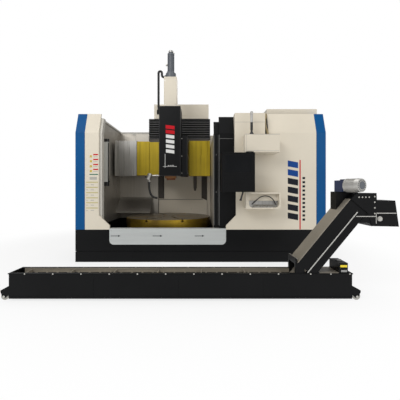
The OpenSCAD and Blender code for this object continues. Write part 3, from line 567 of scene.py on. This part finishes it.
def head_details():
    """Bars, seams and screws on the head's covers, and the fittings of its motor."""
    red, white = Kit(), Kit()
    z = HEAD_Z[1] - 0.31
    for i in range(2):
        slanted(red, -0.034, 0.112, z - 0.058, z, HEAD_FRONT, -0.018)
        z -= 0.078
    for i in range(4):
        slanted(white, -0.030, 0.108, z - 0.054, z, HEAD_FRONT, -0.018)
        z -= 0.081
    printed(white, -0.046, -0.040, 1.352, z + 0.002, HEAD_FRONT)
    printed(white, -0.078, 0.150, 1.372, 1.377, HEAD_FRONT)
    for i in range(3):
        printed(white, 0.004 + 0.036 * i, 0.026 + 0.036 * i, 1.387, 1.396, HEAD_FRONT)
    red.make("head_bars_red", "red", "head", slot="black_paint")
    white.make("head_bars_white", "white", "head", slot="black_paint")
    seams = Kit()
    front, sunk, edge = HEAD_FRONT - 0.0025, HEAD_FRONT + 0.002, 0.006
    for x in (HEAD_X[0], HEAD_X[1] - edge):
        seams.box((x, front, HEAD_Z[0]), (x + edge, sunk, HEAD_Z[1]))
    seams.box((HEAD_X[0], front, HEAD_Z[1] - edge), (HEAD_X[1], sunk, HEAD_Z[1]))
    seams.box((HEAD_X[0], front, HEAD_Z[0]), (HEAD_X[1], sunk, HEAD_Z[0] + edge))
    seams.box((SIDE_X - 0.012, -0.1525, 1.25), (SIDE_X - 0.004, -0.149, SIDE_Z - 0.02))
    seams.make("head_seams", "plastic", "head", slot="black_paint")
    screws = Kit()
    for z in (1.30, 1.62, 1.94, 2.28):
        for y in (-0.15, 0.16):
            screws.screw((HEAD_X[0], y, z), (-1, 0, 0))
    for z in (1.27, 1.55, 1.84):
        screws.screw((SIDE_X, -0.11, z), (1, 0, 0))
        screws.screw((SIDE_X, 0.17, z), (1, 0, 0))
        screws.screw((HEAD_X[1] + 0.02, -0.15, z), (0, -1, 0), *SCREW_S)
    for z in (2.42, 2.82):
        for x in (-0.055, 0.121):
            screws.screw((x, -0.107, z), (0, -1, 0), *SCREW_M)
            screws.screw((x, 0.107, z), (0, 1, 0), *SCREW_M)
    screws.make("head_screws", "screw", "head", slot="stainless")
    drive = Kit()
    drive.box((-0.066, -0.109, 2.395), (0.132, -0.1065, 2.40))
    drive.box((-0.066, -0.109, 2.86), (0.132, -0.1065, 2.865))
    drive.box((-0.066, -0.109, 2.40), (-0.062, -0.1065, 2.86))
    drive.box((0.128, -0.109, 2.40), (0.132, -0.1065, 2.86))
    drive.box((-0.05, 0.1065, 2.44), (0.116, 0.110, 2.82))
    drive.make("drive_column_cover_edges", "cream", "head", 0.001, slot="cream_paint")
    plug = Kit()
    plug.rod((0.033, 0, 3.332), (0.033, 0, 3.352), 0.041, 24)
    plug.rod((0.068, 0, 3.325), (0.093, 0, 3.325), 0.013, 16)
    plug.rod((-0.025, 0, 3.12), (-0.052, 0, 3.12), 0.017, 16)
    plug.make("z_motor_fittings", "alloy", "head", 0.001, True, slot="motor_grey")


def nozzle_details():
    """Rings, nuts and knob of the coolant valve."""
    valve = Kit()
    axis = Vector((math.sin(math.radians(20)), 0, math.cos(math.radians(20))))
    mid = Vector((-0.312, -0.15, 1.207))
    for t in (-0.040, 0.040):
        valve.rod(mid + axis * (t - 0.006), mid + axis * (t + 0.006), 0.0435, 32)
    valve.rod(mid + axis * 0.048, mid + axis * 0.058, 0.030, 24)
    valve.rod((-0.312, -0.15, 1.128), (-0.312, -0.15, 1.142), 0.029, 6)
    valve.rod((-0.20, -0.15, 1.226), (-0.185, -0.15, 1.226), 0.020, 6)
    valve.make("valve_rings", "screw", "head", 0.001, True, slot="stainless")
    knob = Kit()
    knob.rod(mid + Vector((-0.041, 0, 0.0)), mid + Vector((-0.066, 0, 0.006)), 0.022, 20)
    knob.rod((-0.312, -0.15, 1.104), (-0.312, -0.15, 1.122), 0.024, 24)
    knob.make("valve_knob", "plastic", "head", 0.0015, True, slot="black_plastic")


def bellows():
    """Pleated cloth before the column."""
    lo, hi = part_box("column_bellows")
    n = 9
    kit, piping = Kit(), Kit()
    pitch = (hi[2] - lo[2]) / n
    depth = 0.020
    fold = ((0.25, 0.30), (0.0, 0.46), (0.0, 0.54), (0.25, 0.70), (1.0, 0.97), (1.0, 1.0))
    front = [(hi[1] - 0.002, lo[2]), (lo[1] + depth, lo[2])]
    for i in range(n):
        z = lo[2] + i * pitch
        front += [(lo[1] + depth * back, z + pitch * up) for back, up in fold]
    front.append((hi[1] - 0.002, hi[2]))
    kit.prism(front, lo[0], hi[0], "x")
    obj = kit.make("bellows_cloth_folds", "cloth", "root", smooth=True, slot="bellows_cloth")
    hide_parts("column_bellows")
    for i in range(n):
        z = lo[2] + (i + 0.5) * pitch
        piping.rod((lo[0] + 0.002, lo[1] + 0.001, z), (hi[0] - 0.002, lo[1] + 0.001, z), 0.0032, 8)
    edge = piping.make("bellows_piping", "piping", "root", smooth=True, slot="bellows_cloth")
    for piece in (obj, edge):
        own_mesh(piece)


def left_wall():
    """The left inner wall, its top corner cut down behind the front panel."""
    lo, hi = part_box("left_inner_wall")
    kit = Kit()
    side = [(lo[1], lo[2]), (hi[1], lo[2]), (hi[1], hi[2]), (-0.58, hi[2]), (lo[1], 1.98)]
    kit.prism(side, lo[0], hi[0], "x")
    obj = kit.make("left_inner_wall_sheet", "wall_steel", "root", 0.0015, slot="stainless")
    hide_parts("left_inner_wall")
    trim = Kit()
    trim.box((hi[0], 0.474, 0.56), (hi[0] + 0.003, 0.480, hi[2] - 0.01))
    trim.box((hi[0], -0.56, hi[2] - 0.03), (hi[0] + 0.012, hi[1] - 0.002, hi[2]))
    trim.box((-0.742, 0.7865, 0.86), (-0.736, 0.790, 2.11))
    trim.box((hi[0] + 0.012, 0.7855, 2.095), (-0.36, 0.790, 2.125))
    trim.box((-0.80, 0.7855, 2.06), (-0.735, 0.790, 2.095))
    trim.make("wall_seams", "jamb", "root", 0.001, slot="stainless")


def lamp_details():
    """The work lamp's dark frame beside its tube."""
    lo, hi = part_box("work_lamp")
    strip = Kit()
    strip.box((hi[0] - 0.010, lo[1] + 0.004, 1.119), (hi[0] + 0.004, lo[1] + 0.012, 1.764))
    strip.box((hi[0] - 0.006, lo[1] + 0.004, 1.119), (hi[0] + 0.004, hi[1] - 0.004, 1.140))
    strip.make("lamp_frame", "plastic", "root", 0.001, slot="black_plastic")


def front_prints():
    """Bars, stripe and dashes on the right panel, tags on the left one, arrows on the sill's film."""
    blue, dark, red = Kit(), Kit(), Kit()
    z = 1.395
    for i in range(7):
        kit = blue if i < 2 else dark
        slanted(kit, 1.736, 1.878, z - 0.082, z, FRONT, -0.026)
        z -= 0.119
    z = 1.168
    for i in range(11):
        printed(dark, 1.938, 1.974, z - 0.030, z, FRONT)
        z -= 0.057
    printed(red, 1.897, 1.913, 0.447, 1.401, FRONT)
    blue.make("panel_bars_blue", "ink_blue", slot="cream_paint")
    dark.make("panel_bars_dark", "ink", slot="cream_paint")
    red.make("panel_stripe", "red", slot="cream_paint")
    tags = {key: Kit() for key in ("red", "tag_yellow", "tag_green", "tag_olive", "tag_grey")}

    def tag(key, x0, x1, z, h):
        printed(tags[key], x0, x1, z - h / 2, z + h / 2, FRONT, TAG)

    for z in (1.475, 1.408, 1.339, 1.272):
        tag("red", -0.936, -0.868, z, 0.018)
        tag("tag_yellow", -0.983, -0.952, z - 0.024, 0.030)
        tag("tag_grey", -0.936, -0.876, z - 0.030, 0.008)
    tag("tag_green", -0.987, -0.868, 1.203, 0.014)
    tag("tag_grey", -0.985, -0.885, 1.150, 0.040)
    for z in (1.095, 1.025, 0.953, 0.882, 0.815, 0.742):
        tag("tag_olive", -1.034, -0.870, z, 0.016)
        tag("tag_grey", -1.034, -1.010, z - 0.034, 0.009)
        tag("tag_grey", -0.970, -0.925, z - 0.034, 0.009)
    for key, kit in tags.items():
        kit.make("panel_tags_" + key.replace("tag_", ""), key, slot="cream_paint")
    arrows = Kit()
    y = FRONT - 0.006
    for x in (-0.692, -0.118, 0.458):
        printed(arrows, x, x + 0.105, 0.355, 0.363, y, TAG)
        head = [(x + 0.100, 0.346), (x + 0.134, 0.359), (x + 0.100, 0.372)]
        arrows.prism(head, y - TAG, y + SUNK, "y")
    arrows.make("film_arrows", "ink", slot="stainless")


def panel_details():
    """Fold lines, joints, screws and vents of the enclosure's panels."""
    seams, dark, screws = Kit(), Kit(), Kit()
    for x0, x1 in ((LEFT, LEFT + 0.130), (RIGHT - 0.130, RIGHT)):
        seams.box((x0 + 0.001, FRONT - PRINT, KINK_Z - 0.002), (x1 - 0.001, FRONT + 0.002, KINK_Z + 0.001))
    seams.make("trim_fold_lines", "blue", slot="blue_paint")
    for x in (LEFT + 0.129, RIGHT - 0.131):
        dark.box((x, FRONT - TAG, BASE_Z), (x + 0.002, FRONT + 0.002, KINK_Z))
    for x, s in ((RIGHT, 1), (LEFT, -1)):
        out = sorted((x - s * SUNK, x + s * 0.0012))
        for y in (-0.28, 0.26):
            dark.box((out[0], y - 0.002, BASE_Z + 0.02), (out[1], y + 0.002, PANEL_Z - 0.02))
        dark.box((out[0], -0.84, 1.28), (out[1], BACK - 0.02, 1.284))
        for y in (-0.80, -0.31, -0.25, 0.23, 0.29, 0.76):
            for z in (0.50, 0.87, 1.24, 1.32, 1.66, 2.00):
                screws.screw((x, y, z), (s, 0, 0), *SCREW_M)
    dark.make("panel_joints", "plastic", slot="cream_paint")
    screws.make("panel_screws", "screw", slot="stainless")
    vents = Kit()
    for x, s in ((RIGHT, 1), (LEFT, -1)):
        for y in (-0.15, 0.38):
            for i in range(12):
                z = 0.62 + 0.030 * i
                edge = [(x - s * SUNK, z), (x + s * 0.012, z), (x - s * SUNK, z + 0.016)]
                vents.prism(edge, y, y + 0.26, "y")
    vents.make("side_vents", "cream", slot="cream_paint")


def console_details():
    """The console's rim, dark glass, flat keys and fittings, and the edges of its arm and cabinet."""
    x0, x1, z0, z1, y = 0.80, 1.219, 0.964, 1.458, FRONT - 0.370
    rim_w = 0.010
    rim, glass, keys = Kit(), Kit(), Kit()
    for xa, za, xb, zb in ((x0, z0, x0 + rim_w, z1), (x1 - rim_w, z0, x1, z1),
                           (x0, z0, x1, z0 + rim_w), (x0, z1 - rim_w, x1, z1)):
        rim.box((xa, y - 0.004, za), (xb, y + SUNK, zb))
    rim.box((x0 + rim_w, y - 0.0015, 1.185), (x1 - rim_w, y + SUNK, 1.189))
    rim.make("console_rim", "black", "root", 0.001, slot="black_plastic")
    glass.box((x0 + 0.045, y - 0.0015, 1.215), (x1 - 0.045, y + SUNK, 1.425))
    glass.make("console_screen", "screen", slot="black_plastic")
    for i in range(9):
        for j in range(3):
            keys.box((x0 + 0.045 + 0.037 * i, y - 0.0022, 1.022 + 0.046 * j),
                     (x0 + 0.071 + 0.037 * i, y + SUNK, 1.050 + 0.046 * j))
    keys.make("console_keys", "black", "root", 0.001, slot="black_plastic")
    side = Kit()
    for z in (1.05, 1.38):
        side.rod((x1 - 0.02, FRONT - 0.249, z - 0.03), (x1 - 0.02, FRONT - 0.249, z + 0.03), 0.008, 16)
    side.rod((1.078, FRONT - 0.31, z0 + 0.002), (1.048, FRONT - 0.31, 0.862), 0.010, 16)
    side.rod((1.049, FRONT - 0.31, 0.872), (1.045, FRONT - 0.31, 0.852), 0.014, 16)
    side.rod((1.165, FRONT - 0.29, 1.448), (1.165, FRONT - 0.29, 1.478), 0.042, 32)
    side.make("console_fittings", "plastic", "root", 0.001, True, slot="black_plastic")
    arm = Kit()
    arm.box((1.109, FRONT - 0.2715, 1.704), (1.558, FRONT - 0.268, 1.708))
    arm.box((1.128, FRONT - 0.2712, 1.480), (1.130, FRONT - 0.268, 1.704))
    arm.box((1.138, FRONT - 0.2712, 1.492), (1.546, FRONT - 0.268, 1.495))
    arm.make("arm_lid_edges", "grey", slot="cream_paint")
    cab = Kit()
    cab.box((1.000, FRONT - 0.0712, 1.905), (1.410, FRONT - 0.068, 1.908))
    cab.box((1.408, FRONT - 0.069, 1.72), (1.4105, FRONT, 2.026))
    cab.make("console_cabinet_joints", "grey", slot="cream_paint")


def pocket_details():
    """The pocket's tray and the cable that loops over it."""
    lo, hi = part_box("pendant_pocket")
    tray = Kit()
    tray.box((lo[0] + 0.046, lo[1] + 0.052, lo[2] + 0.020),
             (hi[0] - 0.026, lo[1] + 0.0602, lo[2] + 0.105))
    wedge = [(lo[1] + out, lo[2] + up) for out, up in ((0.012, 0.0185), (0.056, 0.0185), (0.056, 0.060))]
    tray.prism(wedge, lo[0] + 0.10, hi[0] - 0.09, "x")
    tray.make("pocket_tray", "steel", "root", 0.001, slot="stainless")
    y = lo[1] + 0.060
    arch = ((1.215, 0.0, 0.800), (1.220, 0.018, 0.806), (1.240, 0.030, 0.826), (1.272, 0.034, 0.858),
            (1.312, 0.034, 0.890), (1.358, 0.034, 0.908), (1.404, 0.034, 0.910), (1.448, 0.034, 0.896),
            (1.484, 0.034, 0.868), (1.508, 0.032, 0.834), (1.520, 0.018, 0.806), (1.524, 0.0, 0.798))
    route = [(x, y - out, z) for x, out, z in arch]
    fine = curve_points(route, 8)
    kit = Kit()
    kit.sweep(fine, [CABLE_D / 2] * len(fine), 12)
    cable = kit.make("pocket_cable", "plastic", "root", smooth=True, slot="black_plastic")


def cabinet_gap():
    """The tan sleeve in the gap between the console box and the electrical cabinet, on a black strip of
    painted shade.
    """

    def panel_y(z):
        """The front panel's face, which leans back above its fold."""
        return FRONT + 0.100 * max(0.0, z - KINK_Z) / (PANEL_Z - KINK_Z)

    # A flat black strip on the panel face is painted shade where the gap looks dark
    dark = Kit()
    edge = [(panel_y(z) - t, z)
            for z, t in ((2.056, 0.006), (KINK_Z, 0.006), (1.716, 0.006),
                         (1.716, -0.002), (KINK_Z, -0.002), (2.056, -0.002))]
    dark.prism(edge, 1.413, 1.470, "x")
    dark.make("cabinet_gap_painted_shade", "plastic", slot="black_plastic")
    route = [(1.447, panel_y(z) - 0.022, z) for z in (2.052, 2.010)]
    route += [(x, panel_y(z) - 0.022, z) for x, z in ((1.434, 1.970), (1.430, 1.920), (1.432, 1.870),
                                                      (1.442, 1.820), (1.454, 1.770), (1.458, 1.728))]
    fine = curve_points(route, 6)
    kit = Kit()
    kit.sweep(fine, [SLEEVE_D / 2] * len(fine), 14)
    sleeve = kit.make("cabinet_sleeve", "conduit_tan", "root", smooth=True, slot="cream_paint")


def cover_details():
    """Gasket, screws and wipers of the covers on the column and the crossrail."""
    line, screws = Kit(), Kit()
    line.box((-0.271, 0.7155, 0.802), (0.584, 0.7172, 0.8085))
    line.make("lower_cover_gasket", "plastic", slot="black_plastic")
    for x in (-0.24, 0.10, 0.36, 0.62):
        screws.screw((x, 0.725, 0.62), (0, -1, 0), *SCREW_M)
    screws.make("lower_cover_screws", "screw", slot="stainless")
    moving = Kit()
    moving.box((-0.173, 0.7435, 1.205), (0.557, 0.7455, 1.209))
    for x in (-0.16, 0.54):
        for z in (0.90, 1.18):
            moving.screw((x, 0.745, z), (0, -1, 0), *SCREW_M)
    moving.make("moving_cover_screws", "screw", "rail", slot="stainless")
    wipers = Kit()
    for x in (-0.601, 0.335):
        wipers.box((x, 0.2125, 1.245), (x + 0.006, 0.2162, 1.857))
    wipers.make("cover_wipers", "plastic", "rail", 0.0008, slot="black_plastic")


def column_details():
    """Ribs, plate and screws at the column's back, and the doors at the machine's rear."""
    ribs, plate, screws = Kit(), Kit(), Kit()
    x0, x1 = COL_X
    for x in (x0 + 0.16, (x0 + x1) / 2, x1 - 0.16):
        ribs.box((x - 0.018, COL_BACK - SUNK, 0.50), (x + 0.018, COL_BACK + 0.024, COL_Z - 0.04))
    for z in (0.50, 0.95, 1.40, 1.85, 2.295):
        ribs.box((x0 + 0.02, COL_BACK - SUNK, z), (x1 - 0.02, COL_BACK + 0.018, z + 0.036))
    for y in (0.95, 1.30):
        for x, s in ((x0, -1), (x1, 1)):
            a, b = sorted((x - s * SUNK, x + s * 0.020))
            ribs.box((a, y - 0.018, 0.50), (b, y + 0.018, COL_Z - 0.02))
    ribs.make("column_ribs", "cast", "root", 0.004, slot="casting_paint")
    plate.box((x0 + 0.20, COL_BACK + 0.018, 1.00), (x1 - 0.20, COL_BACK + 0.027, 1.82))
    plate.box((-0.30, 0.686, 2.43), (0.63, 0.6905, 2.434))
    plate.make("column_back_plate", "cream", "root", 0.002, slot="cream_paint")
    for x in (x0 + 0.23, (x0 + x1) / 2, x1 - 0.23):
        for z in (1.03, 1.79):
            screws.screw((x, COL_BACK + 0.027, z), (0, 1, 0), 0.008, 0.004)
    for x in (-0.33, 0.0, 0.33, 0.66):
        screws.screw((x, 0.690, 2.40), (0, -1, 0), *SCREW_S)
        screws.screw((x, 0.690, 2.62), (0, -1, 0), *SCREW_S)
    for x in (-0.95, -0.65):
        for z in (0.60, 1.30, 2.00):
            screws.screw((x, BACK, z), (0, 1, 0), 0.007, 0.004)
    screws.make("column_screws", "screw", slot="stainless")
    cab = Kit()
    lo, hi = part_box("electrical_cabinet")
    for i in range(2):
        a = lo[0] + 0.03 + i * 0.36
        cab.box((a, hi[1] - SUNK, 0.52), (a + 0.33, hi[1] + 0.012, hi[2] - 0.06))
    cab.make("cabinet_doors", "cream", "root", 0.003, slot="cream_paint")
    rear = Kit()
    door_starts = (0.76, 1.26, 1.76)
    for a in door_starts:
        rear.box((a, BACK - SUNK, 0.50), (a + 0.44, BACK + 0.008, PANEL_Z - 0.06))
    rear.make("rear_doors", "cream", "root", 0.003, slot="cream_paint")
    furniture = Kit()
    for a in door_starts:
        furniture.box((a + 0.385, BACK + 0.008, 1.18), (a + 0.410, BACK + 0.020, 1.32))
        furniture.rod((a + 0.3975, BACK + 0.018, 1.20), (a + 0.3975, BACK + 0.026, 1.20), 0.009, 16)
        for z in (0.62, 1.25, 1.88):
            furniture.rod((a + 0.006, BACK + 0.010, z), (a + 0.006, BACK + 0.010, z + 0.07), 0.006, 12)
    furniture.make("rear_door_handles", "plastic", "root", 0.001, slot="black_plastic")


def base_details():
    """Screws of the base's sides and of the sill."""
    bolts = Kit()
    for x, s in ((RIGHT, 1), (LEFT, -1)):
        for y in (-0.90, -0.45, 0.0, 0.45, 0.74):
            bolts.screw((x, y, 0.405), (s, 0, 0), *SCREW_M)
    bolts.make("base_screws", "screw", slot="stainless")
    sill = Kit()
    for x in (-0.69, 0.86):
        for z in (0.31, 0.43):
            sill.screw((x, FRONT - 0.006, z), (0, -1, 0), 0.004, 0.002)
    sill.make("sill_screws", "screw", slot="stainless")


def conveyor_details():
    """Screws, fold lines with painted highlights, guides and fittings of the chip conveyor."""
    y0, y1 = CONV_Y
    screws, edge, light = Kit(), Kit(), Kit()
    x = -1.03
    while x < 1.35:
        screws.screw((x, y0 - 0.006, 0.2405), (0, -1, 0), 0.0048, 0.003)
        screws.screw((x - 0.06, y1 - 0.012, CONV_TOP), (0, 0, 1), 0.006, 0.004)
        x += 0.2515
    for x in (1.52, 1.70, 1.87):
        screws.screw((x, y0 - 0.006, 0.2405), (0, -1, 0), 0.0048, 0.003)
    for x in (1.95, 1.98, 2.01, 2.04):
        screws.screw((x, y0 - 0.008, 0.925), (0, -1, 0), *SCREW_S)
    for z in (0.93, 0.88, 0.83, 0.78):
        screws.screw((2.09, y0 - 0.008, z), (0, -1, 0), *SCREW_S)
    for t in (0.06, 0.22, 0.38, 0.54, 0.70):
        p = INCL_A + INCL_U * t + INCL_V * 0.02
        screws.screw((p.x, y1, p.z), (0, 1, 0), *SCREW_S)
    screws.make("conveyor_screws", "screw", slot="stainless")
    # Light strips along the folds of the incline, hood and bend are painted highlights
    a = INCL_A + INCL_V * 0.121 - INCL_U * 0.012
    b = INCL_A + INCL_V * 0.121 + INCL_U * 0.690
    w = INCL_V * 0.0045
    for y in (y0, y1):
        lo, hi = (y - 0.004, y + SUNK) if y == y0 else (y - SUNK, y + 0.004)
        light.prism([(q.x, q.z) for q in (a - w, b - w, b + w, a + w)], lo, hi, "y")
    light.box((1.925, y0 - 0.010, 0.750), (2.100, y0 - 0.007, 0.757))
    light.box((2.102, y0 - 0.010, 0.779), (2.284, y0 - 0.007, 0.786))
    light.box((2.100, y0 - 0.010, 0.690), (2.106, y0 - 0.007, 0.786))
    light.box((1.3965, y0 - 0.0045, 0.372), (1.4005, y1 + 0.0045, 0.378))
    light.make("conveyor_fold_highlights", "alloy", slot="grey_paint")
    edge.box((CONV_X[0], y0 - 0.003, 0.030), (CONV_X[1], y0 + SUNK, 0.038))
    edge.box((CONV_X[0], y1 - SUNK, 0.030), (CONV_X[1], y1 + 0.003, 0.038))
    for x in (-0.42, 0.34, 1.10):
        edge.box((x, y0 - 0.0015, 0.020), (x + 0.003, y0 + SUNK, 0.236))
    elbow = [(1.955, 0.700), (1.968, 0.694), (2.020, 0.698), (2.046, 0.690), (2.068, 0.664), (2.076, 0.70),
             (2.03, 0.79), (2.00, 0.75)]
    edge.prism(elbow, y0 - 0.004, y1 + 0.004, "y")
    edge.make("conveyor_casing_folds", "black", "root", 0.0015, slot="black_paint")
    bearing = Kit()
    bearing.rod((2.133, y0 - 0.007, 0.733), (2.133, y0 - 0.016, 0.733), 0.022, 24)
    bearing.rod((2.133, y0 - 0.016, 0.733), (2.133, y0 - 0.024, 0.733), 0.014, 24)
    for k in range(3):
        t = math.radians(90 + 120 * k)
        place = (2.133 + 0.019 * math.cos(t), y0 - 0.016, 0.733 + 0.019 * math.sin(t))
        bearing.screw(place, (0, -1, 0), 0.004)
    bearing.make("hood_bearing", "alloy", "root", 0.001, True, slot="alloy")
    guide = Kit()
    for wall, inward in ((y1 - 0.0255, -1), (y0 + 0.0255, 1)):
        strip = [(wall, 0.203), (wall, 0.243),
                 (wall + inward * 0.003, 0.243), (wall + inward * 0.0045, 0.203)]
        guide.prism(strip, CONV_X[0] + 0.032, 1.385, "x")
    guide.make("trough_guides", "belt", slot="belt_steel")
    label = Kit()
    lo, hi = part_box("coolant_pump")
    label.box((lo[0] + 0.016, y0 + 0.0085, 0.296), (hi[0] - 0.010, y0 + 0.0105, 0.316))
    label.make("pump_tag", "pump_label", slot="yellow_cover")
    foot = Kit()
    foot.box((lo[0] + 0.022, y0 + 0.006, 0.252), (hi[0] - 0.012, y0 + 0.0105, 0.272))
    foot.rod((1.82, -2.33, 0.333), (1.82, -2.33, 0.346), 0.026, 24)
    foot.make("pump_foot", "grey", "root", 0.002, slot="grey_paint")


def motor_details():
    """The gear motor's fan cover and the reducer's bolts."""
    turn = Matrix.Translation((1.868, -2.33, 1.030)) @ Matrix.Rotation(math.radians(25), 4, "Z")

    def at(x, y, z):
        return turn @ Vector((x, y, z))

    out = (turn.to_3x3() @ Vector((0, -1, 0))).normalized()
    cover = Kit()
    cover.rod(at(0, -0.191, 0), at(0, -0.1935, 0), 0.036, 32)
    for k in range(16):
        t = k * math.tau / 16
        p = at(0.047 * math.cos(t), -0.188, 0.047 * math.sin(t))
        cover.rod(p, p + out * 0.0025, 0.004, 8)
    cover.make("gear_motor_fan_cover", "motor", "root", smooth=True, slot="motor_grey")
    bolts = Kit()
    for x in (-0.042, 0.042):
        for z in (-0.046, 0.040):
            bolts.screw(at(x, -0.040, z), out, 0.006)
    bolts.make("reducer_bolts", "screw", slot="stainless")


def castor_details():
    """Nuts on the castors' axles."""
    caps = Kit()
    for x in (CONV_X[0] - 0.048, CONV_X[1] + 0.048):
        for y in (CONV_Y[0] + 0.034, CONV_Y[1] - 0.034):
            caps.rod((x, y - 0.030, 0.034), (x, y - 0.026, 0.034), 0.011, 6)
            caps.rod((x, y + 0.026, 0.034), (x, y + 0.030, 0.034), 0.011, 6)
    caps.make("castor_nuts", "screw", slot="stainless")


def door_details():
    """Fold lines of the two door leaves."""
    lead, follow = Kit(), Kit()
    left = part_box("door_lead")[0][0]
    for x in (left + 0.004, left + 0.062):
        lead.box((x, -0.9325, 0.50), (x + 0.004, -0.929, KINK_Z - 0.02))
    for z in (0.96, 1.48):
        lead.rod((left + 0.036, -0.935, z), (left + 0.036, -0.938, z), 0.006, 12)
    lead.make("lead_leaf_lines", "piping", "door_lead", slot="black_paint")
    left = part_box("door_follow")[0][0]
    follow.box((left + 0.004, -0.9645, 0.50), (left + 0.008, -0.961, KINK_Z - 0.02))
    follow.box((left + 0.010, -0.9645, 1.70), (left + 0.20, -0.961, 1.704))
    follow.make("follow_leaf_lines", "piping", "door_follow", slot="black_paint")


# Routes of the hoses on the head
CONDUIT = [(-0.072, 0, 2.915), (-0.090, 0, 2.915), (-0.1112, 0, 2.9238), (-0.120, 0, 2.945),
           (-0.1205, 0, 2.965), (-0.1205, 0, 2.985), (-0.129, 0, 3.0055), (-0.1495, 0, 3.014),
           (-0.170, 0, 3.0055), (-0.1785, 0, 2.985), (-0.1785, 0, 2.960), (-0.1785, 0, 2.920),
           (-0.1785, 0, 2.850), (-0.1785, 0, 2.750), (-0.1785, 0, 2.600), (-0.1785, 0, 2.475),
           (-0.1785, 0, 2.350)]
NOZZLE = [(-0.312, -0.15, 1.120), (-0.312, -0.15, 1.080), (-0.312, -0.15, 1.040), (-0.304, -0.15, 0.975),
          (-0.282, -0.15, 0.912), (-0.240, -0.15, 0.872), (-0.176, -0.15, 0.858)]

ribbed_hose("conduit_ribbed", CONDUIT, 0.020, 0.011, "motor_conduit")
ribbed_hose("nozzle_hose", NOZZLE, 0.019, 0.016, "coolant_nozzle")
head_details()
nozzle_details()
bellows()
left_wall()
lamp_details()
front_prints()
panel_details()
console_details()
pocket_details()
cabinet_gap()
cover_details()
column_details()
base_details()
conveyor_details()
motor_details()
castor_details()
door_details()
